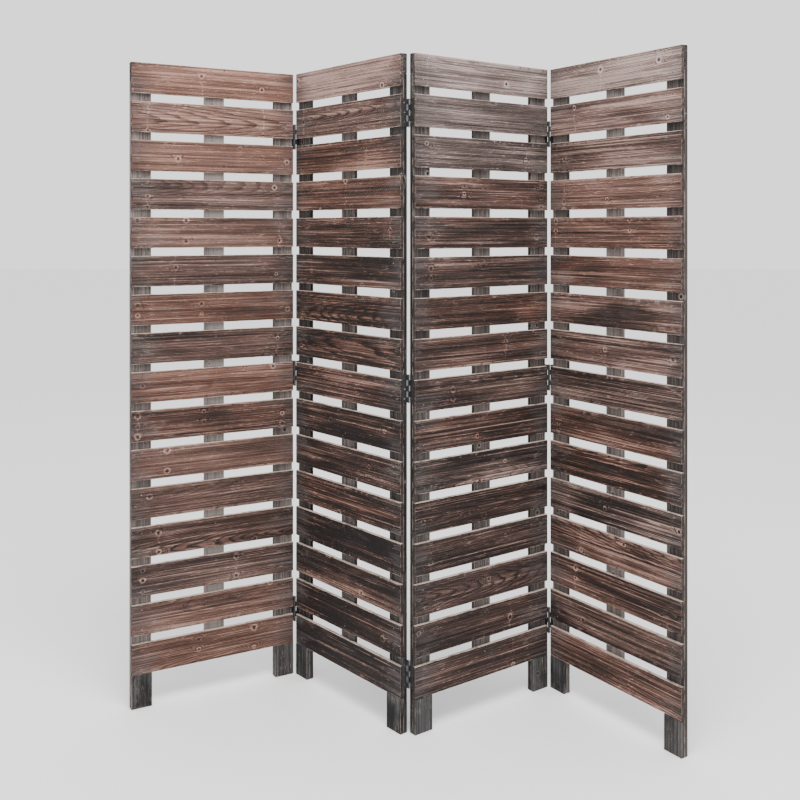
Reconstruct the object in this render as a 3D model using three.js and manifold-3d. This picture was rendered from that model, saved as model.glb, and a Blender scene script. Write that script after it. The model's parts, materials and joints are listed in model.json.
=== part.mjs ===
// Folding room divider: four slatted wooden panels in a zigzag, joined by nine steel butt hinges.
// Millimetres, +Z up. The panels' fronts, where the slats are, face -Y in the standing pose.
// Origin: on the floor, in the middle of the bounding box.
import * as THREE from 'three';
import { mergeVertices } from 'three/addons/utils/BufferGeometryUtils.js';
import Module from 'manifold-3d';

const wasm = await Module();
wasm.setup();

// ---------------------------------------------------------------- driving dimensions

const CLEARANCE = 0.3; // between two pieces that are nailed, screwed or seated together

// Slats: horizontal boards nailed across the front of the stiles.
const PANEL_WIDTH = 458;
const SLAT_HEIGHT = 82;
const SLAT_GAP = 20;
const SLAT_THICKNESS = 9.7;
const SLATS_PER_GROUP = 4;
const GROUPS_PER_PANEL = 4;
const GROUP_WEB_THICKNESS = 1; // thin web over the centre stile that makes four slats one body
const GROUP_WEB_WIDTH = 40;

// Stiles: the three uprights behind the slats; the outer two run down as legs.
const STILE_WIDTH = 55;
const STILE_THICKNESS = 12;
const LEG_HEIGHT = 88; // clear height under the lowest slat

// Top rail: the board across the stiles' top ends, behind the first slat.
const RAIL_HEIGHT = 50;

// Hinges: butt hinges screwed to the panels' edge faces.
const HINGE_LENGTH = 70;
const LEAF_THICKNESS = 1.2;
const LEAF_REACH = 17; // from the panel's face, on the pin's side, to the leaf's far edge
const KNUCKLE_COUNT = 5;
const KNUCKLE_RADIUS = 3;
const KNUCKLE_TO_WOOD = 0.5;
const KNUCKLE_SIDES = 12;
const PIN_RADIUS = 1.5;
const PIN_PLAY = 0.35; // between the pin and its bore, at the bore's corners
const PIN_HEAD_INSET = 0.4; // head smaller than the knuckles
const PIN_HEAD_LENGTH = 1.5;
const PIN_PROUD = 1; // how far the pin's axis stands off the panels' faces
const SCREWS_PER_LEAF = 3;
const SCREW_TO_LEAF_END = 10.3;
const SCREW_HEAD_RADIUS = 2.9;
const SCREW_HEAD_HEIGHT = 0.6;
const SCREW_HEAD_TAPER = 0.75; // top radius over rim radius
const SCREW_HEAD_SIDES = 8;

// Hinge centres, from the panel's ends and from its mid height.
const FRONT_HINGES = { fromTop: 178, fromFloor: 184, overMiddle: 2 };
const BACK_HINGES = { fromTop: 149, fromFloor: 147, overMiddle: 11 };

// Standing pose: each panel's turn from the X axis, in degrees.
const PANEL_YAWS = [28.8, -49.6, 36.2, -56];

// ---------------------------------------------------------------- worked-out dimensions

const STILE_FRONT = SLAT_THICKNESS + CLEARANCE;
const PANEL_THICKNESS = STILE_FRONT + STILE_THICKNESS;
const SLAT_PITCH = SLAT_HEIGHT + SLAT_GAP;
const SLAT_COUNT = SLATS_PER_GROUP * GROUPS_PER_PANEL;
const PANEL_HEIGHT = LEG_HEIGHT + SLAT_COUNT * SLAT_PITCH - SLAT_GAP;
const RAIL_BOTTOM = PANEL_HEIGHT - RAIL_HEIGHT;
const EDGE_TO_AXIS = KNUCKLE_RADIUS + KNUCKLE_TO_WOOD;
const KNUCKLE_BORE_RADIUS = PIN_RADIUS + PIN_PLAY;
const KNUCKLE_LENGTH = (HINGE_LENGTH - (KNUCKLE_COUNT - 1) * CLEARANCE) / KNUCKLE_COUNT;
const PIN_HEAD_RADIUS = KNUCKLE_RADIUS - PIN_HEAD_INSET;
const SCREW_PITCH = (HINGE_LENGTH - 2 * SCREW_TO_LEAF_END) / (SCREWS_PER_LEAF - 1);
const PLATE_START = KNUCKLE_RADIUS + CLEARANCE; // from the axis, clear of the other leaf's knuckles
const PLATE_END = LEAF_REACH + PIN_PROUD;

// ---------------------------------------------------------------- materials

function finish(color, roughness, metalness) {
  return new THREE.MeshStandardMaterial({ color, roughness, metalness });
}

const FINISHES = {
  slats: [0x5c4740, 0x554038, 0x4a3832, 0x3a2d29].map((color) => finish(color, 0.8, 0)),
  stile: finish(0x3b3838, 0.85, 0),
  rail: finish(0x352d2a, 0.9, 0),
  leaf: finish(0x1b1b1c, 0.45, 0.9),
  pin: finish(0x9a9a98, 0.35, 1),
};

// ---------------------------------------------------------------- solids

// A closed geometry as a manifold solid, moved by (x, y, z).
function solid(geometry, x = 0, y = 0, z = 0) {
  const plain = geometry.clone();
  plain.deleteAttribute('normal');
  plain.deleteAttribute('uv');
  plain.translate(x, y, z);
  const merged = mergeVertices(plain, 1e-4);
  const vertProperties = new Float32Array(merged.attributes.position.array);
  const triVerts = new Uint32Array(merged.index.array);
  return new wasm.Manifold(new wasm.Mesh({ numProp: 3, vertProperties, triVerts }));
}

// A box between two corners.
function box(low, high) {
  const size = high.map((value, axis) => value - low[axis]);
  const middle = high.map((value, axis) => (value + low[axis]) / 2);
  return solid(new THREE.BoxGeometry(...size), ...middle);
}

// An upright prism over a shape in the XY plane.
function prism(shape, bottom, height) {
  const geometry = new THREE.ExtrudeGeometry(shape, { depth: height, bevelEnabled: false });
  return solid(geometry, 0, 0, bottom);
}

function regularPolygon(radius, sides) {
  const corners = [];
  for (let i = 0; i < sides; i += 1) {
    const angle = (2 * Math.PI * i) / sides;
    corners.push(new THREE.Vector2(radius * Math.cos(angle), radius * Math.sin(angle)));
  }
  return new THREE.Shape(corners);
}

function joined(solids) {
  return solids.reduce((whole, next) => whole.add(next));
}

function piece(name, body, material) {
  const { vertProperties, triVerts } = body.getMesh();
  const geometry = new THREE.BufferGeometry();
  geometry.setAttribute('position', new THREE.BufferAttribute(vertProperties, 3));
  geometry.setIndex(new THREE.BufferAttribute(triVerts, 1));
  geometry.computeVertexNormals();
  const mesh = new THREE.Mesh(geometry, material);
  mesh.name = name;
  return mesh;
}

// ---------------------------------------------------------------- wooden panel
// In a panel's own frame x runs from its left edge to its right edge, y from the slats' faces (0)
// to the stiles' backs, and z up from the floor.

// Four neighbouring slats, counted from the top, with the web that joins them.
function slatGroup(panelName, group) {
  const first = group * SLATS_PER_GROUP;
  const last = first + SLATS_PER_GROUP - 1;
  const slatBottom = (index) => PANEL_HEIGHT - SLAT_HEIGHT - index * SLAT_PITCH;
  const slats = [];
  for (let index = first; index <= last; index += 1) {
    const bottom = slatBottom(index);
    slats.push(box([0, 0, bottom], [PANEL_WIDTH, SLAT_THICKNESS, bottom + SLAT_HEIGHT]));
  }
  const webLeft = (PANEL_WIDTH - GROUP_WEB_WIDTH) / 2;
  const web = box(
    [webLeft, SLAT_THICKNESS - GROUP_WEB_THICKNESS, slatBottom(last) + SLAT_HEIGHT / 2],
    [webLeft + GROUP_WEB_WIDTH, SLAT_THICKNESS, slatBottom(first) + SLAT_HEIGHT / 2],
  );
  const label = (index) => String(index + 1).padStart(2, '0');
  const name = `${panelName}_slats_${label(first)}_${label(last)}`;
  return piece(name, joined([...slats, web]), FINISHES.slats[group % FINISHES.slats.length]);
}

// An outer stile: thin behind the slats and full thickness below them, where it is the leg.
function legStile(name, left) {
  const stileTop = RAIL_BOTTOM - CLEARANCE;
  const footTop = LEG_HEIGHT - CLEARANCE;
  const right = left + STILE_WIDTH;
  const foot = box([left, 0, 0], [right, PANEL_THICKNESS, footTop]);
  const upright = box([left, STILE_FRONT, footTop / 2], [right, PANEL_THICKNESS, stileTop]);
  return piece(name, joined([foot, upright]), FINISHES.stile);
}

function centreStile(name) {
  const left = (PANEL_WIDTH - STILE_WIDTH) / 2;
  const low = [left, STILE_FRONT, LEG_HEIGHT];
  const high = [left + STILE_WIDTH, PANEL_THICKNESS, RAIL_BOTTOM - CLEARANCE];
  return piece(name, box(low, high), FINISHES.stile);
}

function topRail(name) {
  const low = [0, STILE_FRONT, RAIL_BOTTOM];
  const high = [PANEL_WIDTH, PANEL_THICKNESS, PANEL_HEIGHT];
  return piece(name, box(low, high), FINISHES.rail);
}

function panel(name) {
  const group = new THREE.Group();
  for (let index = 0; index < GROUPS_PER_PANEL; index += 1) group.add(slatGroup(name, index));
  group.add(legStile(`${name}_left_stile`, 0));
  group.add(centreStile(`${name}_centre_stile`));
  group.add(legStile(`${name}_right_stile`, PANEL_WIDTH - STILE_WIDTH));
  group.add(topRail(`${name}_top_rail`));
  return group;
}

// ---------------------------------------------------------------- butt hinge
// In a hinge's own frame the pin's axis is z and mid length is z = 0. A leaf lies against an edge
// face at x = -EDGE_TO_AXIS and runs along +y, into the panel's thickness.

// A screw's head on the leaf's face at x = front, rooted half-way into the leaf.
function screwHead(front, y, z) {
  const root = LEAF_THICKNESS / 2;
  const topRadius = SCREW_HEAD_RADIUS * SCREW_HEAD_TAPER;
  const length = SCREW_HEAD_HEIGHT + root;
  const head = new THREE.CylinderGeometry(topRadius, SCREW_HEAD_RADIUS, length, SCREW_HEAD_SIDES);
  head.rotateZ(-Math.PI / 2);
  return solid(head, front - root + length / 2, y, z);
}

// One leaf with its own knuckles (even or odd places) and the heads of its screws.
function hingeLeaf(parity) {
  const back = CLEARANCE - EDGE_TO_AXIS;
  const front = back + LEAF_THICKNESS;
  const half = HINGE_LENGTH / 2;
  const solids = [box([back, PLATE_START, -half], [front, PLATE_END, half])];
  const knuckle = regularPolygon(KNUCKLE_RADIUS, KNUCKLE_SIDES);
  const bore = regularPolygon(KNUCKLE_BORE_RADIUS, KNUCKLE_SIDES);
  for (let place = parity; place < KNUCKLE_COUNT; place += 2) {
    const bottom = place * (KNUCKLE_LENGTH + CLEARANCE) - half;
    const barrel = prism(knuckle, bottom, KNUCKLE_LENGTH);
    const tongue = box([back, 0, bottom], [front, PLATE_START + CLEARANCE, bottom + KNUCKLE_LENGTH]);
    const hole = prism(bore, bottom - CLEARANCE, KNUCKLE_LENGTH + 2 * CLEARANCE);
    solids.push(barrel.add(tongue).subtract(hole));
  }
  const screwY = (PLATE_START + PLATE_END) / 2;
  for (let index = 0; index < SCREWS_PER_LEAF; index += 1) {
    const z = (index - (SCREWS_PER_LEAF - 1) / 2) * SCREW_PITCH;
    solids.push(screwHead(front, screwY, z));
  }
  return joined(solids);
}

// The pin, a headed rod through all the knuckles.
function hingePin() {
  const shank = HINGE_LENGTH / 2 + CLEARANCE;
  const end = shank + PIN_HEAD_LENGTH;
  const profile = [
    [0, -end], [PIN_HEAD_RADIUS, -end], [PIN_HEAD_RADIUS, -shank], [PIN_RADIUS, -shank],
    [PIN_RADIUS, shank], [PIN_HEAD_RADIUS, shank], [PIN_HEAD_RADIUS, end], [0, end],
  ].map(([radius, height]) => new THREE.Vector2(radius, height));
  const rod = new THREE.LatheGeometry(profile, KNUCKLE_SIDES);
  rod.rotateX(Math.PI / 2);
  return solid(rod);
}

// One hinge: the left leaf, the right leaf (its mirror image, with the other knuckles) and the pin.
function hinge(name) {
  const group = new THREE.Group();
  group.add(piece(`${name}_left_leaf`, hingeLeaf(0), FINISHES.leaf));
  group.add(piece(`${name}_right_leaf`, hingeLeaf(1).mirror([1, 0, 0]), FINISHES.leaf));
  group.add(piece(`${name}_pin`, hingePin(), FINISHES.pin));
  return group;
}

// ---------------------------------------------------------------- standing pose

// A leaf as drawn suits a pin at the fronts; for one at the backs it is turned over.
function turnLeaf(leaf, yaw, pinAtFront) {
  if (!pinAtFront) leaf.geometry.rotateX(Math.PI);
  leaf.rotation.z = yaw;
}

// The three hinges of a fold, with their pins' axis at a point seen from above.
function foldHinges(name, axisPoint, leftYaw, rightYaw, pinAtFront) {
  const heights = pinAtFront ? FRONT_HINGES : BACK_HINGES;
  const centres = {
    top: PANEL_HEIGHT - heights.fromTop,
    middle: PANEL_HEIGHT / 2 + heights.overMiddle,
    bottom: heights.fromFloor,
  };
  const group = new THREE.Group();
  for (const [place, height] of Object.entries(centres)) {
    const set = hinge(`${name}_${place}`);
    set.position.set(axisPoint.x, axisPoint.y, height);
    const [leftLeaf, rightLeaf, pin] = set.children;
    turnLeaf(leftLeaf, leftYaw, pinAtFront);
    turnLeaf(rightLeaf, rightYaw, pinAtFront);
    pin.rotation.z = leftYaw;
    group.add(set);
  }
  return group;
}

// A point moved along a panel turned by yaw, and backward through its thickness, seen from above.
function movedOnPanel(point, yaw, along, backward) {
  return point.clone().add(new THREE.Vector2(along, backward).rotateAround(new THREE.Vector2(), yaw));
}

// Each panel starts at the last one's hinge axis. The pins are at the fronts and backs in turn,
// so the panels fold up like a concertina.
const screen = new THREE.Group();
const yaws = PANEL_YAWS.map(THREE.MathUtils.degToRad);
let corner = new THREE.Vector2(); // a panel's left front corner, seen from above
yaws.forEach((yaw, index) => {
  const board = panel(`panel_${index + 1}`);
  board.position.set(corner.x, corner.y, 0);
  board.rotation.z = yaw;
  screen.add(board);
  if (index + 1 === yaws.length) return;

  const nextYaw = yaws[index + 1];
  const pinAtFront = index % 2 === 0;
  const pinDepth = pinAtFront ? -PIN_PROUD : PANEL_THICKNESS + PIN_PROUD;
  const axisPoint = movedOnPanel(corner, yaw, PANEL_WIDTH + EDGE_TO_AXIS, pinDepth);
  screen.add(foldHinges(`hinge_${index + 1}_${index + 2}`, axisPoint, yaw, nextYaw, pinAtFront));
  corner = movedOnPanel(axisPoint, nextYaw, EDGE_TO_AXIS, -pinDepth);
});

// The origin goes to the middle of the whole screen, on the floor.
const centre = new THREE.Box3().setFromObject(screen, true).getCenter(new THREE.Vector3());
screen.position.set(-centre.x, -centre.y, 0);

export default screen;
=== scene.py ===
# A folding room divider: four slatted softwood panels, hinged in a zigzag and standing on their legs.
# Metres, +Z up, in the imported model's frame. The slatted fronts face -Y.
import json
import math
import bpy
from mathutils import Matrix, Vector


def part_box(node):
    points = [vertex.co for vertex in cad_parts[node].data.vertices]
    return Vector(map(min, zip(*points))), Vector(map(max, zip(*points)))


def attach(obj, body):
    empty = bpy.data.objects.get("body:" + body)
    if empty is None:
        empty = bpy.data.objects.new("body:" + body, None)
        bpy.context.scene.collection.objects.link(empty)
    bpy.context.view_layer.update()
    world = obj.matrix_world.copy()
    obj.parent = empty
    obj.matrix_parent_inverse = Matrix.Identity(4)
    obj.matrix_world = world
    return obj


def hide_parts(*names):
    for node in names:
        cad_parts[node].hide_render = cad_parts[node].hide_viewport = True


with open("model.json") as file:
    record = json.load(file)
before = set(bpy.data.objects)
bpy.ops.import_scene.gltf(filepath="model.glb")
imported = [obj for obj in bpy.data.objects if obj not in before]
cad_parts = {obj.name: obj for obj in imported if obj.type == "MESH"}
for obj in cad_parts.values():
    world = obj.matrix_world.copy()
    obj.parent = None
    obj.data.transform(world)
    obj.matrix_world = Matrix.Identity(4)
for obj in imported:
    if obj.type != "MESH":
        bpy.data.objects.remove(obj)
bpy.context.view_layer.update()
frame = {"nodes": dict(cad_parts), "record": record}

from types import SimpleNamespace

import bmesh
import bpy
from mathutils import Matrix, Vector

# ------------------------------------------------------------------ stiles
# Three sawn uprights a panel, stained charcoal with the grain running up, and darkened further by
# painted shade, as they show only in the recesses behind the slats. The outer two go on down as
# legs; the centre one ends with the lowest slat. The slats are nailed to their fronts.

PANELS = (1, 2, 3, 4)


def panel_place(number):
    """The matrix from a panel's own frame to the room: x to its right, y backward, z up."""
    feet = {m["name"]: Vector(m["pos_m"]) for m in frame["record"]["mounts"]}
    left = feet[f"panel_{number}_left_foot"]
    right = feet[f"panel_{number}_right_foot"]
    turn = math.atan2(right.y - left.y, right.x - left.x)
    return Matrix.Translation((left + right) / 2) @ Matrix.Rotation(turn, 4, "Z")


def extent(node, place):
    """A CAD node's lowest and highest corners in the frame that place stands for."""
    back = place.inverted()
    points = [back @ vertex.co for vertex in frame["nodes"][node].data.vertices]
    low = Vector(min(p[axis] for p in points) for axis in range(3))
    high = Vector(max(p[axis] for p in points) for axis in range(3))
    return low, high


def add(tree, kind, inputs=None, **settings):
    """A new node. inputs gives sockets, by name or number, a value or another node's output."""
    node = tree.nodes.new(kind)
    for key, value in settings.items():
        setattr(node, key, value)
    for key, value in (inputs or {}).items():
        if isinstance(value, bpy.types.NodeSocket):
            tree.links.new(value, node.inputs[key])
        else:
            node.inputs[key].default_value = value
    return node


def maths_in(tree):
    """A function that adds a Math node to that tree and gives its output."""
    def maths(operation, *values):
        return add(tree, "ShaderNodeMath", dict(enumerate(values)), operation=operation).outputs[0]
    return maths


def in_scene(name, data):
    """A new object of that name in the scene, with that mesh, lamp or camera."""
    thing = bpy.data.objects.new(name, data)
    bpy.context.scene.collection.objects.link(thing)
    return thing


def new_geometry_tree(name, inputs):
    """A geometry tree with named inputs (name, type, default), its input node and its output node."""
    tree = bpy.data.node_groups.new(name, "GeometryNodeTree")
    tree.interface.new_socket("Geometry", in_out="OUTPUT", socket_type="NodeSocketGeometry")
    for label, kind, value in inputs:
        socket = tree.interface.new_socket(label, in_out="INPUT", socket_type=f"NodeSocket{kind}")
        if value is not None:
            socket.default_value = value
    return tree, tree.nodes.new("NodeGroupInput").outputs, tree.nodes.new("NodeGroupOutput").inputs


def board_row_tree():
    """A row of sawn boards with the grain along x, stepping down y, each a little askew and worn.

    Every point keeps board_point, its place on its own board, board_half, half the board's size,
    board_seed, the board's own number between 0 and 1, and board_index, its place in the row.
    """
    tree, given, result = new_geometry_tree("board_row", (
        ("Length", "Float", 0.5), ("Width", "Float", 0.08), ("Thickness", "Float", 0.01),
        ("Step", "Float", 0.1), ("Count", "Int", 1), ("Segments", "Int", 40),
        ("Skew", "Float", 0.001), ("Unevenness", "Float", 0.0004), ("Seed", "Int", 0),
        ("Material", "Material", None),
    ))
    maths = maths_in(tree)

    def scaled(vector, factor):
        return add(tree, "ShaderNodeVectorMath", {
            0: vector, "Scale": factor}, operation="SCALE").outputs[0]

    def marked(geometry, name, value, data_type, domain):
        return add(tree, "GeometryNodeStoreNamedAttribute", {
            "Geometry": geometry, "Name": name, "Value": value},
            data_type=data_type, domain=domain).outputs["Geometry"]

    size = add(tree, "ShaderNodeCombineXYZ", {
        0: given["Length"], 1: given["Width"], 2: given["Thickness"]}).outputs[0]
    cube = add(tree, "GeometryNodeMeshCube", {
        "Size": size, "Vertices X": given["Segments"], "Vertices Y": 7, "Vertices Z": 3,
    }).outputs["Mesh"]
    position = add(tree, "GeometryNodeInputPosition").outputs[0]
    board = marked(cube, "board_point", position, "FLOAT_VECTOR", "POINT")
    board = marked(board, "board_half", scaled(size, 0.5), "FLOAT_VECTOR", "POINT")

    step = add(tree, "ShaderNodeCombineXYZ", {1: maths("MULTIPLY", given["Step"], -1.0)})
    line = add(tree, "GeometryNodeMeshLine", {"Count": given["Count"], "Offset": step.outputs[0]})
    least = maths("MULTIPLY", given["Skew"], -1.0)
    askew = add(tree, "FunctionNodeRandomValue", {
        "Min": add(tree, "ShaderNodeCombineXYZ", {2: least}).outputs[0],
        "Max": add(tree, "ShaderNodeCombineXYZ", {2: given["Skew"]}).outputs[0],
        "Seed": given["Seed"]}, data_type="FLOAT_VECTOR")
    turned = add(tree, "FunctionNodeEulerToRotation", {0: askew.outputs["Value"]})
    row = add(tree, "GeometryNodeInstanceOnPoints", {
        "Points": line.outputs["Mesh"], "Instance": board, "Rotation": turned.outputs[0]}).outputs[0]
    index = add(tree, "GeometryNodeInputIndex").outputs[0]
    number = add(tree, "FunctionNodeRandomValue", {
        "ID": index, "Seed": given["Seed"]}, data_type="FLOAT")
    row = marked(row, "board_seed", number.outputs[1], "FLOAT", "INSTANCE")
    row = marked(row, "board_index", index, "FLOAT", "INSTANCE")
    real = add(tree, "GeometryNodeRealizeInstances", {"Geometry": row})

    stretched = add(tree, "ShaderNodeVectorMath", {
        0: position, 1: (14.0, 45.0, 45.0)}, operation="MULTIPLY").outputs[0]
    own = add(tree, "ShaderNodeVectorMath", {0: stretched, 1: given["Seed"]}, operation="ADD")
    wave = add(tree, "ShaderNodeTexNoise", {"Vector": own.outputs[0], "Scale": 1.0, "Detail": 3.0})
    inward = maths("MULTIPLY", maths("MULTIPLY", wave.outputs[0], given["Unevenness"]), -1.0)
    normal = add(tree, "GeometryNodeInputNormal").outputs[0]
    uneven = add(tree, "GeometryNodeSetPosition", {
        "Geometry": real.outputs["Geometry"], "Offset": scaled(normal, inward)})
    finished = add(tree, "GeometryNodeSetMaterial", {
        "Geometry": uneven.outputs["Geometry"], "Material": given["Material"]})
    tree.links.new(finished.outputs["Geometry"], result["Geometry"])
    return tree


def grown(name, tree, values, bevel=0.0):
    """An object whose mesh is what the tree makes from those input values, with its arrises eased."""
    thing = in_scene(name, bpy.data.meshes.new(name))
    modifier = thing.modifiers.new("tree", "NODES")
    modifier.node_group = tree
    for item in tree.interface.items_tree:
        if item.in_out == "INPUT" and item.name in values:
            modifier[item.identifier] = values[item.name]
    if bevel:
        ease = thing.modifiers.new("ease", "BEVEL")
        ease.width = bevel
        ease.segments = 2
        ease.limit_method = "ANGLE"
        ease.angle_limit = math.radians(40)
    bpy.context.view_layer.update()
    graph = bpy.context.evaluated_depsgraph_get()
    mesh = bpy.data.meshes.new_from_object(
        thing.evaluated_get(graph), preserve_all_data_layers=True, depsgraph=graph)
    thing.modifiers.clear()
    thing.data = mesh
    mesh.name = name
    return thing


class Shading:
    """Short names for the nodes that a wood material is made of."""

    def __init__(self, tree):
        self.tree = tree
        self.maths = maths_in(tree)

    def read(self, name, output="Fac"):
        return add(self.tree, "ShaderNodeAttribute", attribute_name=name).outputs[output]

    def vectors(self, operation, *values):
        return add(
            self.tree, "ShaderNodeVectorMath", dict(enumerate(values)), operation=operation).outputs

    def joined(self, *values):
        return add(self.tree, "ShaderNodeCombineXYZ", dict(enumerate(values))).outputs[0]

    def parts(self, vector):
        return add(self.tree, "ShaderNodeSeparateXYZ", {0: vector}).outputs

    def length(self, *values):
        return self.vectors("LENGTH", self.joined(*values))["Value"]

    def chances(self, *values):
        """Three random numbers between 0 and 1 that depend on those values alone."""
        draw = add(self.tree, "ShaderNodeTexWhiteNoise", {"Vector": self.joined(*values)})
        return self.parts(draw.outputs["Color"])

    def noise(self, where, scale, detail=3.0, roughness=0.55, distortion=0.0):
        return add(self.tree, "ShaderNodeTexNoise", {
            "Vector": self.vectors("MULTIPLY", where, scale)[0], "Scale": 1.0, "Detail": detail,
            "Roughness": roughness, "Distortion": distortion}).outputs[0]

    def ramp(self, value, low, high, first=0.0, last=1.0):
        return add(self.tree, "ShaderNodeMapRange", {
            "Value": value, "From Min": low, "From Max": high, "To Min": first, "To Max": last,
        }, interpolation_type="SMOOTHSTEP").outputs[0]

    def blend(self, factor, first, second):
        return add(self.tree, "ShaderNodeMix", {
            0: factor, 6: first, 7: second}, data_type="RGBA").outputs[2]


def read_board(shade):
    """What a board's points say of it, with its own chances and its distance to each face."""
    board = SimpleNamespace(
        point=shade.read("board_point", "Vector"), stain_and_shade=shade.read("stain_and_shade"),
        painted_edge_shade=shade.read("painted_edge_shade"), ashen=shade.read("ashen"), vivid=shade.read("vivid"))
    board.along, board.across, board.through = shade.parts(board.point)
    board.draw = shade.maths("MULTIPLY", shade.read("board_seed"), 97.0)
    board.chances = shade.chances(board.draw, 1.0, 2.0)
    board.ring_chance, board.scorch_chance, board.dullness = shade.chances(board.draw, 7.0, 3.0)
    far = shade.vectors("MULTIPLY", shade.joined(*board.chances), (40.0, 40.0, 40.0))[0]
    board.figure = shade.vectors("ADD", board.point, far)[0]
    gaps = shade.vectors("ABSOLUTE", board.point)[0]
    gaps = shade.vectors("SUBTRACT", shade.read("board_half", "Vector"), gaps)[0]
    board.gap_x, board.gap_y, board.gap_z = shade.parts(gaps)
    return board


def add_knots(shade, board):
    """Knots in whorls: a column of places across the board every so far along it, some empty.

    The grain flows round each knot, and some whorls have a thin spike right across the board.
    """
    maths, ramp, noise = shade.maths, shade.ramp, shade.noise
    whorl_step, knot_step = 0.26, 0.027
    start_x = maths("MULTIPLY", board.chances[0], 40.0)
    start_y = maths("MULTIPLY", board.chances[1], 40.0)
    whorl_at = maths("MULTIPLY_ADD", board.along, 1 / whorl_step, start_x)
    knot_at = maths("MULTIPLY_ADD", board.across, 1 / knot_step, start_y)
    whorl, place = maths("FLOOR", whorl_at), maths("FLOOR", knot_at)
    whorl_a, whorl_b = shade.chances(whorl, board.draw, 5.0)[:2]
    knot_a, knot_b, knot_c = shade.chances(whorl, place, board.draw)
    middle = maths("MULTIPLY_ADD", whorl_a, 0.6, 0.2)
    from_x = maths("MULTIPLY", maths("SUBTRACT", maths("FRACT", whorl_at), middle), whorl_step)
    middle = maths("MULTIPLY_ADD", knot_b, 0.2, 0.4)
    from_y = maths("MULTIPLY", maths("SUBTRACT", maths("FRACT", knot_at), middle), knot_step)
    ragged = maths("MULTIPLY_ADD", noise(board.figure, (120.0, 120.0, 60.0)), 0.003, -0.0015)
    distance = maths("ADD", shade.length(from_x, from_y), ragged)
    reach = maths("MULTIPLY_ADD", knot_c, 0.0045, 0.004)
    absent = maths("GREATER_THAN", knot_a, 0.42)
    knot = maths("MULTIPLY_ADD", absent, 9.0, maths("DIVIDE", distance, reach))
    board.core = ramp(knot, 0.35, 0.6, 1.0, 0.0)
    board.rim = maths("MULTIPLY", ramp(knot, 0.5, 0.75), ramp(knot, 1.0, 1.35, 1.0, 0.0))
    board.rim_depth = maths("MULTIPLY_ADD", knot_b, -0.45, -0.1)

    flow = shade.length(maths("MULTIPLY", from_x, 28.0), maths("MULTIPLY", from_y, 80.0))
    board.bulge = maths("MULTIPLY", ramp(flow, 0.0, 1.0, 1.0, 0.0), maths("SUBTRACT", 1.0, absent))
    aside = maths("MULTIPLY", maths("MULTIPLY", from_y, board.bulge), -0.8)
    board.grain = shade.vectors("ADD", board.figure, shade.joined(0.0, aside))[0]
    wander = maths("MULTIPLY_ADD", noise(board.figure, (9.0, 60.0, 9.0)), 0.03, -0.015)
    spike = ramp(maths("ABSOLUTE", maths("ADD", from_x, wander)), 0.0005, 0.003, 1.0, 0.0)
    spike = maths("MULTIPLY", spike, maths("GREATER_THAN", whorl_b, 0.66))
    broken = ramp(noise(board.figure, (150.0, 220.0, 90.0)), 0.45, 0.6)
    board.spike = maths("MULTIPLY", spike, broken)


def add_rings(shade, board, rings):
    """Growth rings round a heart that lies behind the board and runs a little askew to it."""
    maths = shade.maths
    chance_a, chance_b, chance_c = board.chances
    heart = maths("MULTIPLY_ADD", chance_b, 0.05, 0.012)
    slope = maths("MULTIPLY_ADD", chance_a, 0.14, -0.07)
    deep = maths("MULTIPLY_ADD", slope, board.along, maths("ADD", board.through, heart))
    wide = maths("ADD", board.across, maths("MULTIPLY_ADD", chance_c, 0.26, -0.13))
    drift = maths("MULTIPLY", shade.noise(board.figure, (2.6, 16.0, 16.0)), 0.016)
    drift = maths("MULTIPLY_ADD", board.bulge, 0.011, drift)
    ring_width = 0.0031
    turns = maths("DIVIDE", maths("ADD", shade.length(0.0, wide, deep), drift), ring_width)
    board.late = shade.ramp(maths("FRACT", turns), 0.5, 0.95)
    board.ring_depth = maths("MULTIPLY_ADD", board.ring_chance, rings, 0.3 * rings)


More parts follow.
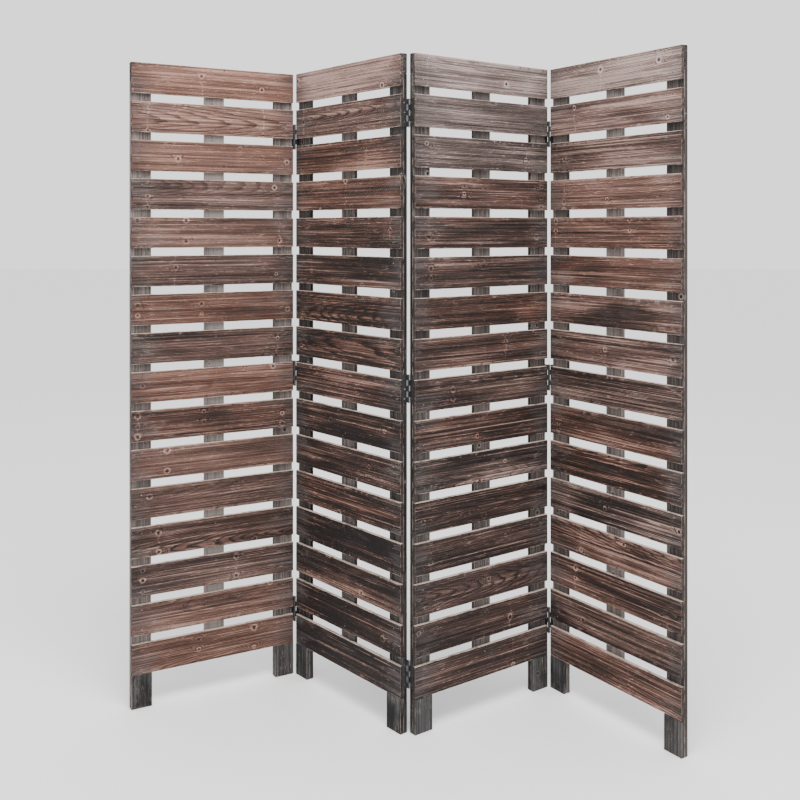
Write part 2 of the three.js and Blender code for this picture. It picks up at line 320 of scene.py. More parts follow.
def tone_of_stain_and_shade(shade, board, contrast):
    """How dark the wood is, from 0 to 1: the stain lies in long streaks and clouds, deepest in the late
    wood, and each board's painted light and shade is added.
    """
    maths, ramp, noise = shade.maths, shade.ramp, shade.noise
    board.fibre = noise(board.grain, (5.0, 420.0, 420.0), 4.0, 0.65)
    board.streak = ramp(noise(board.grain, (1.6, 190.0, 190.0), 3.0, 0.6), 0.36, 0.66)
    line = ramp(noise(board.grain, (1.1, 300.0, 300.0), 2.0, 0.5), 0.57, 0.66)
    brushed = ramp(noise(board.grain, (2.4, 330.0, 330.0), 2.0, 0.5), 0.58, 0.68)
    fleck = ramp(noise(board.grain, (37.0, 240.0, 240.0), 2.0, 0.5, 1.2), 0.57, 0.7)
    cloud = noise(board.figure, (3.2, 16.0, 16.0), 2.0)
    most = maths("MULTIPLY", board.scorch_chance, 0.34)
    scorch = ramp(noise(board.figure, (2.6, 13.0, 13.0), 2.0), 0.46, 0.7, 0.0, most)
    layers = ((board.fibre, 0.8), (board.streak, 0.3), (cloud, 0.85), (line, 0.26), (brushed, -0.26),
              (fleck, -0.2))
    tone = maths("MULTIPLY_ADD", board.late, board.ring_depth, -1.09)
    for layer, strength in layers:
        tone = maths("MULTIPLY_ADD", layer, strength, tone)
    tone = maths("ADD", tone, scorch)

    # Each board's stain value carries painted light and shade too: paler top slats, darker low boards,
    # and darker panels where they turn away from the light.
    deeper = maths("MULTIPLY_ADD", board.stain_and_shade, 0.85 * contrast, 0.6 * contrast)
    deeper = maths("MULTIPLY_ADD", deeper, board.vivid, deeper)
    tone = maths("MULTIPLY_ADD", tone, deeper, board.stain_and_shade)
    # Painted shade on the narrow sides of the hinged stiles and legs.
    on_edge = ramp(board.gap_y, 0.0004, 0.0018, 1.0, 0.0)
    tone = maths("MULTIPLY_ADD", on_edge, board.painted_edge_shade, tone)
    tone = maths("MULTIPLY_ADD", board.core, 0.45, tone)
    tone = maths("MULTIPLY_ADD", board.rim, board.rim_depth, tone)
    tone = maths("MULTIPLY_ADD", board.spike, -0.4, tone)
    from_end = maths("MULTIPLY_ADD", cloud, 0.16, board.gap_x)
    return maths("ADD", tone, ramp(from_end, 0.05, 0.14, 0.25, 0.0))


def stain_color(shade, board, tone, tones):
    """The tone's colour on the ladder of tones, duller on some boards and grey on the ashen ones."""
    ladder = add(shade.tree, "ShaderNodeValToRGB", {0: tone})
    stops = ladder.color_ramp.elements
    stops[0].position, stops[0].color = 0.0, (*tones[0], 1.0)
    stops[1].position, stops[1].color = 1.0, (*tones[-1], 1.0)
    for number, tone_color in enumerate(tones[1:-1], 1):
        stops.new(number / (len(tones) - 1)).color = (*tone_color, 1.0)
    dull = shade.maths("MULTIPLY_ADD", board.dullness, -0.35, 1.12)
    dull = shade.maths("MULTIPLY", dull, shade.maths("MULTIPLY_ADD", board.ashen, -1.0, 1.0))
    return add(shade.tree, "ShaderNodeHueSaturation", {
        "Saturation": dull, "Color": ladder.outputs[0]}).outputs[0]


def weathered(shade, board, color, grey, bare):
    """The colour with grey clouds towards the board's ends, and with pale scuffs."""
    maths, ramp, noise = shade.maths, shade.ramp, shade.noise
    toward_end = ramp(board.gap_x, 0.0, 0.13, 0.2, -0.05)
    clouds = maths("ADD", noise(board.figure, (8.0, 22.0, 22.0)), toward_end)
    greyed = ramp(clouds, 0.54, 0.8, 0.0, 0.4)
    greyed = maths("MULTIPLY", greyed, ramp(board.streak, 0.1, 0.9, 1.0, 0.25))
    color = shade.blend(greyed, color, grey)
    scuffs = ramp(noise(board.figure, (45.0, 700.0, 700.0), 3.0, 0.7), 0.56, 0.7)
    patches = maths("MULTIPLY_ADD", toward_end, 0.5, noise(board.figure, (14.0, 30.0, 30.0)))
    scuffed = maths("MULTIPLY", scuffs, ramp(patches, 0.56, 0.68))
    return shade.blend(maths("MULTIPLY", scuffed, 0.55), color, bare)


def worn_and_top_lit(shade, board, color, tones, bare, wear, top_wear_and_light):
    """The colour with bare wood on the rubbed arrises, least at the ends, a pale upper edge face that is
    partly wear and partly painted light from above, and dark end grain.
    """
    maths, ramp, noise = shade.maths, shade.ramp, shade.noise
    spared = maths("ADD", board.gap_x, 0.0009)
    smaller, larger = maths("MINIMUM", spared, board.gap_y), maths("MAXIMUM", spared, board.gap_y)
    from_arris = maths("MAXIMUM", smaller, maths("MINIMUM", larger, board.gap_z))
    rub = noise(board.figure, (30.0, 90.0, 90.0), 4.0, 0.7)
    rubbed_and_lit = maths("MULTIPLY", ramp(from_arris, 0.0003, 0.0018, 1.0, 0.0), ramp(rub, 0.42, 0.6))
    # Painted light: the upper edge face is paled as though lit from above, as well as worn.
    on_edge = ramp(board.gap_y, 0.0003, 0.0012, 1.0, 0.0)
    upper = maths("MULTIPLY", on_edge, maths("GREATER_THAN", board.across, 0.0))
    rubbed_and_lit = maths("MAXIMUM", rubbed_and_lit, maths("MULTIPLY", upper, ramp(rub, 0.3, 0.55, 0.0, top_wear_and_light)))
    color = shade.blend(maths("MULTIPLY", rubbed_and_lit, wear), color, bare)
    pores = noise(board.figure, (60.0, 600.0, 600.0), 3.0, 0.7)
    end_grain = shade.blend(ramp(pores, 0.38, 0.62), (*tones[-1], 1.0), (*tones[-2], 1.0))
    on_end = ramp(board.gap_x, 0.0003, 0.0009, 0.9, 0.0)
    return shade.blend(maths("MULTIPLY", on_end, ramp(rub, 0.35, 0.62, 1.0, 0.4)), color, end_grain)


def wood(name, tones, grey, bare, rings=0.36, contrast=1.0, wear=0.85, top_wear_and_light=0.0):
    """Stained softwood. tones run from the palest early wood to the deepest stain. rings is how
    strongly the late wood shows, contrast the whole figure, wear how bare the arrises are, and the
    last setting how pale the upper edge face is, partly wear and partly painted light from above.

    It reads each board's own points: board_point and board_half, with x along the grain, and
    board_seed, which gives every board a figure of its own. Its stain attribute says how deep the
    stain is on the board, with painted light and painted shade added, its edge attribute how much
    painted shade lies on its narrow sides, ashen how far it has greyed, and vivid how much stronger
    than most its figure is.
    """
    material = bpy.data.materials.new(name)
    material.use_nodes = True
    tree = material.node_tree
    surface = tree.nodes["Principled BSDF"]
    shade = Shading(tree)
    board = read_board(shade)
    add_knots(shade, board)
    add_rings(shade, board, rings)
    tone = tone_of_stain_and_shade(shade, board, contrast)
    color = stain_color(shade, board, tone, tones)
    color = weathered(shade, board, color, grey, bare)
    color = worn_and_top_lit(shade, board, color, tones, bare, wear, top_wear_and_light)
    tree.links.new(color, surface.inputs["Base Color"])

    maths = shade.maths
    tree.links.new(maths("MULTIPLY_ADD", board.fibre, 0.25, 0.58), surface.inputs["Roughness"])
    surface.inputs["Specular IOR Level"].default_value = 0.14
    relief = maths("MULTIPLY_ADD", board.late, -0.4, board.fibre)
    relief = maths("MULTIPLY_ADD", board.core, -0.5, relief)
    relief = maths("MULTIPLY_ADD", board.streak, 0.6, relief)
    bump = add(tree, "ShaderNodeBump", {"Height": relief, "Strength": 0.6, "Distance": 0.0009})
    tree.links.new(bump.outputs[0], surface.inputs["Normal"])
    return material


def give_boards(mesh, name, values):
    """Every board's own value, by its number in the row, as an attribute on its points."""
    numbers = [item.value for item in mesh.attributes["board_index"].data]
    attribute = mesh.attributes.new(name, "FLOAT", "POINT")
    attribute.data.foreach_set("value", [values[round(number)] for number in numbers])


ARRIS = 0.0009  # how far the boards' arrises are eased


def board_row(name, low, high, upright, count, step, stains_and_shade, material, seed, **values):
    """A row of boards from the first one's corners in the panel's frame. upright turns the grain up."""
    size = high - low
    length, width = (size.z, size.x) if upright else (size.x, size.z)
    row = grown(name, BOARD_ROW, {
        "Length": length, "Width": width, "Thickness": size.y, "Step": step, "Count": count,
        "Seed": seed, "Material": material, **values}, bevel=ARRIS)
    give_boards(row.data, "stain_and_shade", stains_and_shade)
    lie = Matrix.Rotation(math.radians(90), 4, "X")
    if upright:
        lie = Matrix.Rotation(math.radians(90), 4, "Y") @ lie
    row.data.transform(Matrix.Translation((low + high) / 2) @ lie)
    return row


def settle(thing, number, slot, *nodes):
    """Puts a finished piece of a panel in its place, with its panel, and hides the CAD nodes it
    replaces. slot is not used.
    """
    thing.data.transform(panel_place(number))
    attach(thing, f"panel_{number}")
    if nodes:
        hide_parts(*nodes)


BOARD_ROW = board_row_tree()
CHARCOAL_TONES = (
    (0.21, 0.178, 0.166), (0.092, 0.076, 0.071), (0.042, 0.036, 0.0345), (0.02, 0.018, 0.018),
    (0.008, 0.0078, 0.0078),
)
ASH_GREY = (0.15, 0.145, 0.145, 1.0)
BARE_AND_LIT_WOOD = (0.5, 0.4, 0.34, 1.0)
stile_wood = wood("stile_wood", CHARCOAL_TONES, ASH_GREY, BARE_AND_LIT_WOOD, rings=0.12, contrast=0.8, wear=0.35)
STILE_SIDES = ("left", "centre", "right")
# Painted shade: each stile's stain is set darker for the shade in the gaps behind the slats, most on the
# panels turned away from the light.
STILE_STAINS_AND_SHADE = {
    1: (0.26, 0.07, 0.25), 2: (0.53, 0.37, 0.64), 3: (0.46, 0.37, 0.38), 4: (0.28, 0.2, 0.5),
}  # each panel's, in the order of STILE_SIDES
STILE_SEGMENTS = 160
# Painted shade on the hinged edges, which lie in the slot between two panels.
HINGED_EDGE_SHADE = 0.4


def hinged_edge_shade(number, side):
    """Painted shade, nearly black, on the hinged edges, which face the next panel across the hinge; the
    screen's two outer edges get none.
    """
    outer = (number, side) in ((PANELS[0], "left"), (PANELS[-1], "right"))
    return 0.0 if outer or side == "centre" else HINGED_EDGE_SHADE


for number in PANELS:
    place = panel_place(number)
    back_layer = extent(f"panel_{number}_top_rail", place)[0].y
    for side_number, (side, stain_and_shade) in enumerate(zip(STILE_SIDES, STILE_STAINS_AND_SHADE[number])):
        node = f"panel_{number}_{side}_stile"
        low, high = extent(node, place)
        low.y = back_layer
        stile = board_row(f"panel_{number}_{side}_upright", low, high, True, 1, 0.0, [stain_and_shade],
                          stile_wood, 10 * number + side_number, Segments=STILE_SEGMENTS, Skew=0.0)
        give_boards(stile.data, "painted_edge_shade", [hinged_edge_shade(number, side)])
        settle(stile, number, "stile", node)

# ------------------------------------------------------------------ leg facings
# A block of the slats' thickness on the front of each leg, from the floor to the lowest slat, cut
# from the same stock as the stiles.

LEG_SIDES = ("left", "right")
# Each panel's, in the order of LEG_SIDES: darker than the stiles above, partly by stain and partly by
# painted shade near the floor and on the panels turned away from the light.
LEG_STAINS_AND_SHADE = {1: (0.86, 0.57), 2: (1.2, 1.1), 3: (1.02, 0.62), 4: (0.83, 0.64)}
FACING_SEED = 70
FACING_SEGMENTS = 12
FACING_GAP = 0.0003  # below the lowest slat

for number in PANELS:
    place = panel_place(number)
    slat_layer = extent(f"panel_{number}_slats_13_16", place)
    for side_number, (side, stain_and_shade) in enumerate(zip(LEG_SIDES, LEG_STAINS_AND_SHADE[number])):
        node = f"panel_{number}_{side}_stile"
        low, high = extent(node, place)
        high.y = slat_layer[1].y
        high.z = slat_layer[0].z - FACING_GAP
        facing = board_row(f"panel_{number}_{side}_leg_facing", low, high, True, 1, 0.0, [stain_and_shade],
                           stile_wood, FACING_SEED + 2 * number + side_number,
                           Segments=FACING_SEGMENTS, Skew=0.0)
        give_boards(facing.data, "painted_edge_shade", [hinged_edge_shade(number, side)])
        settle(facing, number, "stile", node)

# ------------------------------------------------------------------ top rails
# A board across the stiles' top ends, behind the first slat. Its rough sawn end grain shows dark
# at both edges of the panel.

RAIL_STAIN = 0.6
RAIL_SEED = 50
RAIL_SEGMENTS = 50
rail_wood = wood("rail_wood", CHARCOAL_TONES, ASH_GREY, BARE_AND_LIT_WOOD, rings=0.2, wear=0.3)

for number in PANELS:
    node = f"panel_{number}_top_rail"
    low, high = extent(node, panel_place(number))
    rail = board_row(f"panel_{number}_rail", low, high, False, 1, 0.0, [RAIL_STAIN], rail_wood,
                     RAIL_SEED + number, Segments=RAIL_SEGMENTS, Skew=0.0)
    settle(rail, number, "top_rail", node)

# ------------------------------------------------------------------ slats
# Sixteen boards a panel with the grain along them, torched, brushed and stained red-brown. They are
# darker towards the floor and paler at the top, partly by their stain and partly by painted shade
# and painted light from above, and panels turned away from the light are darker by painted shade.
# The arrises are rubbed back to bare wood.

SLATS = 16
SLAT_TONES = (
    (0.34, 0.215, 0.178), (0.160, 0.088, 0.069), (0.076, 0.039, 0.030), (0.031, 0.0185, 0.0152),
    (0.011, 0.0088, 0.0084),
)
WEATHERED_GREY = (0.11, 0.098, 0.098, 1.0)
SLAT_SEED = 100
SLAT_SEGMENTS = 60
SLAT_HEIGHT = 0.0814  # within the margin above and below
SLAT_MARGIN = 0.0003  # left round the row for its boards' skew
# How dark each panel's top slat is, its stain made paler by painted light, and what it comes to on the
# slats near the floor, its stain made darker by painted shade.
FIRST_STAIN_AND_LIGHT = {1: 0.37, 2: 0.2, 3: 0.25, 4: 0.13}
LAST_STAIN_AND_SHADE = {1: 0.55, 2: 0.85, 3: 0.75, 4: 0.66}
FADE = {1: 4.0, 2: 2.0, 3: 2.6, 4: 2.6}  # slats over which the first one's paleness is lost
UNEVEN = {  # the boards, counted down from 0, that took more stain than their neighbours, or less
    1: {1: 0.04, 2: -0.04, 3: 0.14, 4: 0.04, 5: 0.16, 6: 0.07, 7: 0.12, 8: -0.07, 9: 0.11, 10: -0.07,
        11: 0.1, 12: 0.14, 13: 0.17, 14: 0.03, 15: -0.1},
    2: {0: 0.07, 1: 0.15, 3: -0.24, 5: -0.04, 6: -0.04, 7: 0.09, 8: 0.02, 9: 0.32, 10: 0.11, 11: 0.05,
        12: 0.13, 13: -0.1, 14: 0.32, 15: 0.4},
    3: {0: 0.1, 1: 0.06, 2: 0.07, 4: 0.08, 5: 0.22, 7: -0.04, 8: 0.15, 9: 0.24, 10: 0.1, 11: 0.21,
        12: 0.28, 15: 0.12},
    4: {0: 0.05, 1: 0.04, 2: 0.14, 3: -0.03, 5: -0.17, 6: -0.05, 7: 0.08, 9: 0.06, 10: 0.24, 11: 0.06,
        12: -0.1, 13: 0.07, 15: -0.03},
}
ASHEN = {  # the boards that have greyed most
    1: {}, 2: {0: 0.15}, 3: {0: 0.4, 1: 0.35, 2: 0.3}, 4: {0: 0.15, 1: 0.15, 2: 0.1},
}
VIVID = {1: -0.04, 2: 0.3, 3: 0.12, 4: 0.38}  # how much stronger the panel's figure is than most
# The slats' upper edge faces get painted light from above as well as wear.
slat_wood = wood("slat_wood", SLAT_TONES, WEATHERED_GREY, BARE_AND_LIT_WOOD, contrast=1.1, top_wear_and_light=0.95)


def slat_stains_and_shade(number):
    """How deep the stain of each of a panel's slats is, from the top one down, with painted light on the
    top slats and painted shade towards the floor.
    """
    first, last = FIRST_STAIN_AND_LIGHT[number], LAST_STAIN_AND_SHADE[number]
    # Painted light and shade: the top slat is paler and the rest darken towards the floor.
    stains_and_shade = [last - (last - first) * math.exp(-k / FADE[number]) for k in range(SLATS)]
    for k, more in UNEVEN[number].items():
        stains_and_shade[k] += more
    return stains_and_shade


for number in PANELS:
    place = panel_place(number)
    nodes = [name for name in frame["nodes"] if name.startswith(f"panel_{number}_slats")]
    corners = [extent(name, place) for name in nodes]
    low = Vector(min(corner[0][axis] for corner in corners) for axis in range(3))
    high = Vector(max(corner[1][axis] for corner in corners) for axis in range(3))
    margin = Vector((SLAT_MARGIN, SLAT_MARGIN, SLAT_MARGIN))
    low, high = low + margin, high - margin
    step = (high.z - low.z - SLAT_HEIGHT) / (SLATS - 1)
    low.z = high.z - SLAT_HEIGHT
    slats = board_row(f"panel_{number}_slats", low, high, False, SLATS, step, slat_stains_and_shade(number),
                      slat_wood, SLAT_SEED + number, Segments=SLAT_SEGMENTS)
    give_boards(slats.data, "ashen", [ASHEN[number].get(k, 0.0) for k in range(SLATS)])
    give_boards(slats.data, "vivid", [VIVID[number]] * SLATS)
    settle(slats, number, "slat", *nodes)

# ------------------------------------------------------------------ hinge leaves
# Three butt hinges a fold join the panels' edges. A leaf is a strip of black lacquered sheet steel,
# cut into tongues along one side, and the tongues are rolled round the pin as knuckles.

FOLDS = (1, 2, 3)  # fold n joins panel n to panel n + 1
HEIGHTS = ("top", "middle", "bottom")
SIDES = ("left", "right")
SHEET = 0.0012
ROLL_RADIUS = 0.0025  # to the middle of the rolled sheet
KNUCKLES = 5
KNUCKLE_GAP = 0.0003
ROLL_START = 180  # degrees round the pin, as are the next two
ROLL_END = 465
ROLL_STEP = 15
CORNER_RADIUS = 0.0025
SHEET_ARRIS = 0.00015


def hinge_names():
    """Every hinge: its name, and its left panel's number."""
    return [(f"hinge_{n}_{n + 1}_{height}", n) for n in FOLDS for height in HEIGHTS]


def hinge_place(hinge, left_panel, side):
    """The matrix from a leaf's own frame to the room, with the pin's axis along z.

    A leaf lies at negative x and runs along y into its panel's thickness. A right leaf is a left
    one's mirror image, and a hinge with its pin at the backs is turned over.
    """
    low, high = (Vector(corner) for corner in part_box(f"{hinge}_pin"))
    middle = (low + high) / 2
    place = panel_place(left_panel + SIDES.index(side))
    at_back = (place.inverted() @ middle).y > 0
    turned = Matrix.Translation(middle) @ place.to_quaternion().to_matrix().to_4x4()
    if at_back:
        turned = turned @ Matrix.Rotation(math.pi, 4, "X")
    if side == "right":
        turned = turned @ Matrix.Scale(-1, 4, (1, 0, 0))
    return turned


def leaf_blank(length, reach, first_knuckle):
    """The bent sheet of a leaf as an open surface, in the leaf's own frame."""
    knuckle = (length - (KNUCKLES - 1) * KNUCKLE_GAP) / KNUCKLES
    outline = [(-ROLL_RADIUS, reach), (-ROLL_RADIUS, ROLL_RADIUS + SHEET / 2 + KNUCKLE_GAP)]
    for degrees in range(ROLL_START, ROLL_END + 1, ROLL_STEP):
        angle = math.radians(degrees)
        outline.append((ROLL_RADIUS * math.cos(angle), ROLL_RADIUS * math.sin(angle)))
    sheet = bmesh.new()
    rows = []
    for number in range(KNUCKLES):
        bottom = number * (knuckle + KNUCKLE_GAP) - length / 2
        rows += [bottom, bottom + knuckle]
    grid = [[sheet.verts.new((x, y, z)) for x, y in outline] for z in rows]
    # Every second strip of the grid is a gap between knuckles. A leaf rolls every second knuckle.
    for row in range(len(rows) - 1):
        rolled = row % 2 == 0 and (row // 2) % 2 == first_knuckle
        for column in range(len(outline) - 1 if rolled else 1):
            below, above = grid[row], grid[row + 1]
            sheet.faces.new((below[column], below[column + 1], above[column + 1], above[column]))
    loose = [vertex for vertex in sheet.verts if not vertex.link_faces]
    bmesh.ops.delete(sheet, geom=loose, context="VERTS")
    corners = [grid[0][0], grid[-1][0]]
    bmesh.ops.bevel(sheet, geom=corners, offset=CORNER_RADIUS, segments=4, profile=0.5,
                    affect="VERTICES")
    return sheet


def metal(name, base, coat, roughness, chips):
    """Steel under a thin finish. chips is how much of the finish is worn down to the metal."""
    material = bpy.data.materials.new(name)
    material.use_nodes = True
    tree = material.node_tree
    surface = tree.nodes["Principled BSDF"]
    maths = maths_in(tree)
    where = add(tree, "ShaderNodeTexCoord").outputs["Object"]
    fine = add(tree, "ShaderNodeTexNoise", {"Vector": where, "Scale": 420.0, "Detail": 5.0}).outputs[0]
    broad = add(tree, "ShaderNodeTexNoise", {"Vector": where, "Scale": 90.0, "Detail": 3.0}).outputs[0]
    total = maths("ADD", fine, broad)
    bare = add(tree, "ShaderNodeMapRange", {
        "Value": total, "From Min": 1.22 - chips, "From Max": 1.3 - chips}).outputs[0]
    color = add(tree, "ShaderNodeMix", {0: bare, 6: (*coat, 1.0), 7: (*base, 1.0)}, data_type="RGBA")
    tree.links.new(color.outputs[2], surface.inputs["Base Color"])
    tree.links.new(bare, surface.inputs["Metallic"])
    tree.links.new(maths("MULTIPLY_ADD", broad, 0.3, roughness - 0.15), surface.inputs["Roughness"])
    bump = add(tree, "ShaderNodeBump", {"Height": total, "Strength": 0.3, "Distance": 0.0002})
    tree.links.new(bump.outputs[0], surface.inputs["Normal"])
    return material


STEEL = (0.52, 0.5, 0.48)
black_lacquer = metal("black_lacquer", STEEL, (0.012, 0.012, 0.013), 0.45, -0.11)

for hinge, left_panel in hinge_names():
    for first_knuckle, side in enumerate(SIDES):
        node = f"{hinge}_{side}_leaf"
        place = hinge_place(hinge, left_panel, side)
        low, high = extent(node, place)
        blank = leaf_blank(high.z - low.z, high.y, first_knuckle)
        mesh = bpy.data.meshes.new(f"{node}_sheet")
        blank.to_mesh(mesh)
        blank.free()
        mesh.transform(place)
        mesh.materials.append(black_lacquer)
        leaf = in_scene(f"{node}_sheet", mesh)
        wall = leaf.modifiers.new("wall", "SOLIDIFY")
        wall.thickness = SHEET
        wall.offset = 0.0
        wall.use_even_offset = True
        ease = leaf.modifiers.new("ease", "BEVEL")
        ease.width = SHEET_ARRIS
        ease.segments = 1
        ease.limit_method = "ANGLE"
        ease.angle_limit = math.radians(50)
        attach(leaf, f"panel_{left_panel + first_knuckle}")
        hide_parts(node)

# ------------------------------------------------------------------ hinge pins
# A bright steel rod through all five knuckles of each hinge, headed over at both ends. It stays
# with the left panel of its fold.

PIN_RADIUS = 0.0015
PIN_HEAD_RADIUS = 0.0026
PIN_HEAD = 0.0015
PIN_SIDES = 24
bright_steel = metal("bright_steel", STEEL, (0.24, 0.23, 0.22), 0.34, 0.3)

for hinge, left_panel in hinge_names():
    place = hinge_place(hinge, left_panel, "left")
    end = extent(f"{hinge}_pin", place)[1].z
    shoulder = end - PIN_HEAD
    half_outline = [
        (0.0, end), (0.6 * PIN_HEAD_RADIUS, end - 0.08 * PIN_HEAD),
        (0.9 * PIN_HEAD_RADIUS, end - 0.35 * PIN_HEAD), (PIN_HEAD_RADIUS, end - 0.7 * PIN_HEAD),
        (PIN_HEAD_RADIUS, shoulder), (PIN_RADIUS, shoulder),
    ]
    outline = half_outline + [(radius, -z) for radius, z in reversed(half_outline)]
    turning = bmesh.new()
    points = [turning.verts.new((radius, 0.0, z)) for radius, z in outline]
    edges = [turning.edges.new(pair) for pair in zip(points, points[1:])]
    bmesh.ops.spin(turning, geom=points + edges, cent=(0, 0, 0), axis=(0, 0, 1),
                   angle=2 * math.pi, steps=PIN_SIDES, use_merge=True)
    bmesh.ops.remove_doubles(turning, verts=turning.verts, dist=1e-6)
    bmesh.ops.recalc_face_normals(turning, faces=turning.faces)
    mesh = bpy.data.meshes.new(f"{hinge}_pin_rod")
    turning.to_mesh(mesh)
    turning.free()
    mesh.transform(place)
    mesh.materials.append(bright_steel)
    pin = in_scene(f"{hinge}_pin_rod", mesh)
    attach(pin, f"panel_{left_panel}")
    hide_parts(f"{hinge}_pin")

# ------------------------------------------------------------------ hinge screws
# Three small cross-slotted screws hold each leaf to its panel's edge. They are blackened like the
# leaves, rubbed bright in places, and their slots stand at any angle.

SCREWS = 3
SCREW_TO_END = 0.0103  # from the outer screws' middles to the leaf's ends
SCREW_RADIUS = 0.0029
SCREW_PROUD = 0.0006
SCREW_LENGTH = 0.014
SLOT_WIDTH = 0.0006
blackened_screw = metal("blackened_screw", (0.6, 0.59, 0.57), (0.02, 0.02, 0.021), 0.42, 0.06)


def screw_row_tree():
    """A row of countersunk screws along z, with their heads facing x and turned at random."""
    tree, given, result = new_geometry_tree("screw_row", (
        ("Count", "Int", 3), ("Pitch", "Float", 0.025), ("Head Radius", "Float", 0.003),
        ("Proud", "Float", 0.0006), ("Length", "Float", 0.014), ("Slot Width", "Float", 0.0006),
        ("Seed", "Int", 0), ("Material", "Material", None),
    ))
    maths = maths_in(tree)

    def moved(geometry, **places):
        place = add(tree, "ShaderNodeCombineXYZ", places)
        return add(tree, "GeometryNodeTransform", {
            "Geometry": geometry, "Translation": place.outputs[0]}).outputs[0]

    rim = maths("MULTIPLY", given["Head Radius"], 0.75)
    head = add(tree, "GeometryNodeMeshCone", {
        "Vertices": 20, "Radius Top": rim, "Radius Bottom": given["Head Radius"],
        "Depth": given["Proud"]}).outputs["Mesh"]
    slot_length = maths("MULTIPLY", given["Head Radius"], 1.1)
    bars = []
    for sizes in ((slot_length, given["Slot Width"]), (given["Slot Width"], slot_length)):
        size = add(tree, "ShaderNodeCombineXYZ", {0: sizes[0], 1: sizes[1], 2: given["Proud"]})
        bar = add(tree, "GeometryNodeMeshCube", {"Size": size.outputs[0]}).outputs["Mesh"]
        bars.append(moved(bar, Z=maths("MULTIPLY", given["Proud"], 0.9)))
    for bar in bars:
        head = add(tree, "GeometryNodeMeshBoolean", {
            "Mesh 1": head, "Mesh 2": bar}, operation="DIFFERENCE").outputs["Mesh"]
    shank = add(tree, "GeometryNodeMeshCone", {
        "Vertices": 12, "Radius Top": maths("MULTIPLY", given["Head Radius"], 0.45),
        "Radius Bottom": 0.0003, "Depth": given["Length"]}).outputs["Mesh"]
    shank = moved(shank, Z=maths("MULTIPLY", given["Length"], -1.0))
    screw = add(tree, "GeometryNodeJoinGeometry")
    tree.links.new(head, screw.inputs[0])
    tree.links.new(shank, screw.inputs[0])

    start = maths("MULTIPLY", maths("SUBTRACT", given["Count"], 1.0), -0.5)
    line = add(tree, "GeometryNodeMeshLine", {
        "Count": given["Count"],
        "Start Location": add(tree, "ShaderNodeCombineXYZ", {
            2: maths("MULTIPLY", start, given["Pitch"])}).outputs[0],
        "Offset": add(tree, "ShaderNodeCombineXYZ", {2: given["Pitch"]}).outputs[0]})
    facing = add(tree, "FunctionNodeEulerToRotation", {0: (0.0, math.pi / 2, 0.0)})
    row = add(tree, "GeometryNodeInstanceOnPoints", {
        "Points": line.outputs["Mesh"], "Instance": screw.outputs[0], "Rotation": facing.outputs[0]})
    turn = add(tree, "FunctionNodeRandomValue", {
        3: math.pi, "Seed": given["Seed"]}, data_type="FLOAT")
    spin = add(tree, "ShaderNodeCombineXYZ", {2: turn.outputs[1]})
    spun = add(tree, "GeometryNodeRotateInstances", {
        "Instances": row.outputs[0],
        "Rotation": add(tree, "FunctionNodeEulerToRotation", {0: spin.outputs[0]}).outputs[0]})
    real = add(tree, "GeometryNodeRealizeInstances", {"Geometry": spun.outputs[0]})
    finished = add(tree, "GeometryNodeSetMaterial", {
        "Geometry": real.outputs[0], "Material": given["Material"]})
    tree.links.new(finished.outputs[0], result["Geometry"])
    return tree


SCREW_ROW = screw_row_tree()

for number, (hinge, left_panel) in enumerate(hinge_names()):
    for side_number, side in enumerate(SIDES):
        place = hinge_place(hinge, left_panel, side)
        low, high = extent(f"{hinge}_{side}_leaf", place)
        pitch = (high.z - low.z - 2 * SCREW_TO_END) / (SCREWS - 1)
        screws = grown(f"{hinge}_{side}_screws", SCREW_ROW, {
            "Count": SCREWS, "Pitch": pitch, "Head Radius": SCREW_RADIUS, "Proud": SCREW_PROUD,
            "Length": SCREW_LENGTH, "Slot Width": SLOT_WIDTH, "Seed": 2 * number + side_number,
            "Material": blackened_screw})
        face = SHEET / 2 - ROLL_RADIUS
        middle = (high.y + ROLL_RADIUS + SHEET / 2) / 2
        screws.data.transform(place @ Matrix.Translation((face, middle, 0.0)))
        if place.determinant() < 0:
            screws.data.flip_normals()
        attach(screws, f"panel_{left_panel + side_number}")

# ------------------------------------------------------------------ nails
# Two wire nails hold each slat to each stile behind it. Their small dark heads stand a hair proud
# of the wood and are never quite in line.

NAIL_RADIUS = 0.0018
NAIL_PROUD = 0.0002
NAIL_SPREAD = 0.05  # between a slat's two nails
NAIL_WANDER = 0.0025
NAIL_SINK = 0.0001  # how far a head's underside lies in the wood
NAIL_SEED = 300


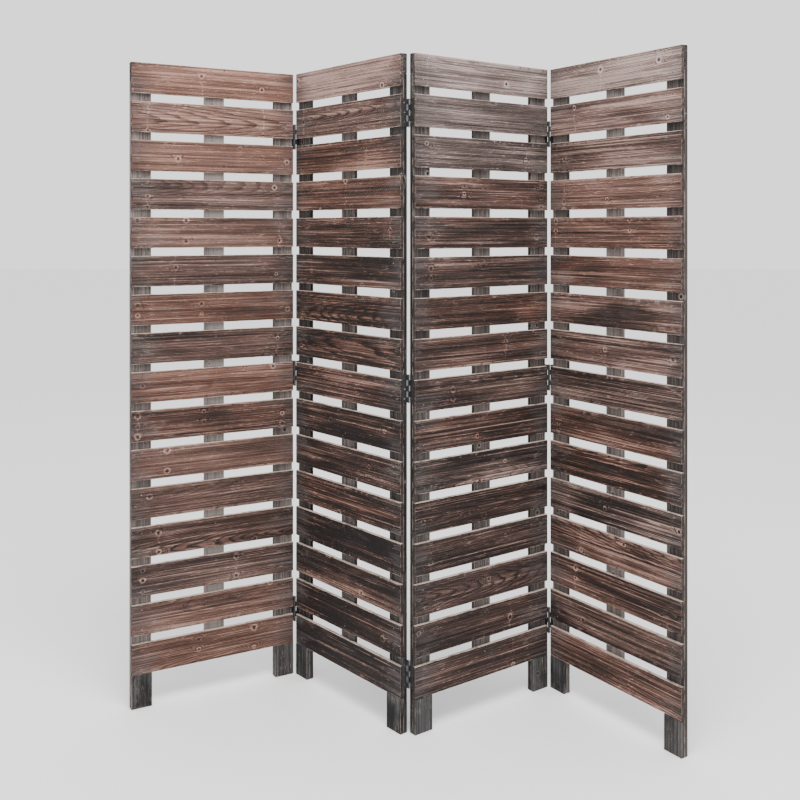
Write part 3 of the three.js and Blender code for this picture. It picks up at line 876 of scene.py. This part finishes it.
def nail_grid_tree():
    """Pairs of nail heads facing -y on a grid of columns and rows in the XZ plane."""
    tree, given, result = new_geometry_tree("nail_grid", (
        ("Width", "Float", 0.4), ("Height", "Float", 1.5), ("Columns", "Int", 3), ("Rows", "Int", 16),
        ("Spread", "Float", 0.05), ("Wander", "Float", 0.002), ("Radius", "Float", 0.002),
        ("Proud", "Float", 0.0002), ("Seed", "Int", 0), ("Material", "Material", None),
    ))
    maths = maths_in(tree)
    grid = add(tree, "GeometryNodeMeshGrid", {
        "Size X": given["Width"], "Size Y": given["Height"],
        "Vertices X": given["Columns"], "Vertices Y": given["Rows"]}).outputs["Mesh"]
    pairs = add(tree, "GeometryNodeJoinGeometry")
    for side in (-0.5, 0.5):
        aside = add(tree, "ShaderNodeCombineXYZ", {1: maths("MULTIPLY", given["Spread"], side)})
        copy = add(tree, "GeometryNodeTransform", {"Geometry": grid, "Translation": aside.outputs[0]})
        tree.links.new(copy.outputs[0], pairs.inputs[0])
    least = maths("MULTIPLY", given["Wander"], -1.0)
    wander = add(tree, "FunctionNodeRandomValue", {
        "Min": add(tree, "ShaderNodeCombineXYZ", {0: least, 1: least}).outputs[0],
        "Max": add(tree, "ShaderNodeCombineXYZ", {0: given["Wander"], 1: given["Wander"]}).outputs[0],
        "Seed": given["Seed"]}, data_type="FLOAT_VECTOR")
    spots = add(tree, "GeometryNodeSetPosition", {
        "Geometry": pairs.outputs[0], "Offset": wander.outputs["Value"]})
    head = add(tree, "GeometryNodeMeshCone", {
        "Vertices": 12, "Radius Top": maths("MULTIPLY", given["Radius"], 0.8),
        "Radius Bottom": given["Radius"], "Depth": given["Proud"]}).outputs["Mesh"]
    heads = add(tree, "GeometryNodeInstanceOnPoints", {"Points": spots.outputs[0], "Instance": head})
    real = add(tree, "GeometryNodeRealizeInstances", {"Geometry": heads.outputs[0]})
    upright = add(tree, "GeometryNodeTransform", {
        "Geometry": real.outputs[0], "Rotation": (math.pi / 2, 0.0, 0.0)})
    finished = add(tree, "GeometryNodeSetMaterial", {
        "Geometry": upright.outputs[0], "Material": given["Material"]})
    tree.links.new(finished.outputs[0], result["Geometry"])
    return tree


NAIL_GRID = nail_grid_tree()
nail_iron = metal("nail_iron", (0.3, 0.28, 0.27), (0.025, 0.02, 0.018), 0.55, 0.12)

for number in PANELS:
    place = panel_place(number)
    left = extent(f"panel_{number}_left_stile", place)
    right = extent(f"panel_{number}_right_stile", place)
    top = extent(f"panel_{number}_slats_01_04", place)
    bottom = extent(f"panel_{number}_slats_13_16", place)
    nails = grown(f"panel_{number}_nails", NAIL_GRID, {
        "Width": (right[0].x + right[1].x - left[0].x - left[1].x) / 2,
        "Height": top[1].z - bottom[0].z - SLAT_HEIGHT, "Columns": len(STILE_SIDES), "Rows": SLATS,
        "Spread": NAIL_SPREAD, "Wander": NAIL_WANDER, "Radius": NAIL_RADIUS,
        "Proud": NAIL_PROUD + SLAT_MARGIN, "Seed": NAIL_SEED + number, "Material": nail_iron})
    face = top[0].y + SLAT_MARGIN + NAIL_SINK
    middle = Vector(((left[0].x + right[1].x) / 2, face, (top[1].z + bottom[0].z) / 2))
    nails.data.transform(Matrix.Translation(middle))
    settle(nails, number, "nail")

# ------------------------------------------------------------------ floor, light and camera
# A plain pale floor, soft studio light from above and all round, and a camera before the screen,
# level, at the height of a standing person's chest.

FLOOR_REACH = 30.0
FLOOR_PAINT = (0.9, 0.9, 0.9, 1.0)
STUDIO_STRENGTH = 1.6
LAMP_PLACE = Vector((0.2, -1.3, 3.4))
LAMP_TARGET = Vector((0.0, 0.1, 1.2))
LAMP_WIDTH = 1.6
LAMP_POWER = 130.0
CAMERA_LENS = 45.4
CAMERA_SHIFT = -0.2118
CAMERA_HEIGHT = 1.2565
CAMERA_DISTANCE = 2.6418  # in front of the screen's near left corner
CAMERA_ASIDE = 0.7035  # to the right of it

floor_mesh = bpy.data.meshes.new("floor")
signs = ((-1, -1), (1, -1), (1, 1), (-1, 1))
floor_mesh.from_pydata([(x * FLOOR_REACH, y * FLOOR_REACH, 0) for x, y in signs], [], [(0, 1, 2, 3)])
paint = bpy.data.materials.new("pale_floor")
paint.use_nodes = True
paint.node_tree.nodes["Principled BSDF"].inputs["Base Color"].default_value = FLOOR_PAINT
paint.node_tree.nodes["Principled BSDF"].inputs["Roughness"].default_value = 0.9
floor_mesh.materials.append(paint)
in_scene("floor", floor_mesh)

world = bpy.data.worlds.new("studio")
world.use_nodes = True
world.node_tree.nodes["Background"].inputs["Color"].default_value = (1.0, 1.0, 1.0, 1.0)
world.node_tree.nodes["Background"].inputs["Strength"].default_value = STUDIO_STRENGTH
bpy.context.scene.world = world

softbox = bpy.data.lights.new("overhead", "AREA")
softbox.size = LAMP_WIDTH
softbox.energy = LAMP_POWER
lamp = in_scene("overhead", softbox)
lamp.location = LAMP_PLACE
lamp.rotation_euler = (LAMP_TARGET - LAMP_PLACE).to_track_quat("-Z", "Y").to_euler()

view = bpy.data.cameras.new("camera")
view.lens = CAMERA_LENS
view.shift_y = CAMERA_SHIFT
near_corner = panel_place(1) @ extent("panel_1_slats_01_04", panel_place(1))[0]
eye = in_scene("camera", view)
eye.location = (near_corner.x + CAMERA_ASIDE, near_corner.y - CAMERA_DISTANCE, CAMERA_HEIGHT)
eye.rotation_euler = (math.radians(90), 0.0, 0.0)
bpy.context.scene.camera = eye
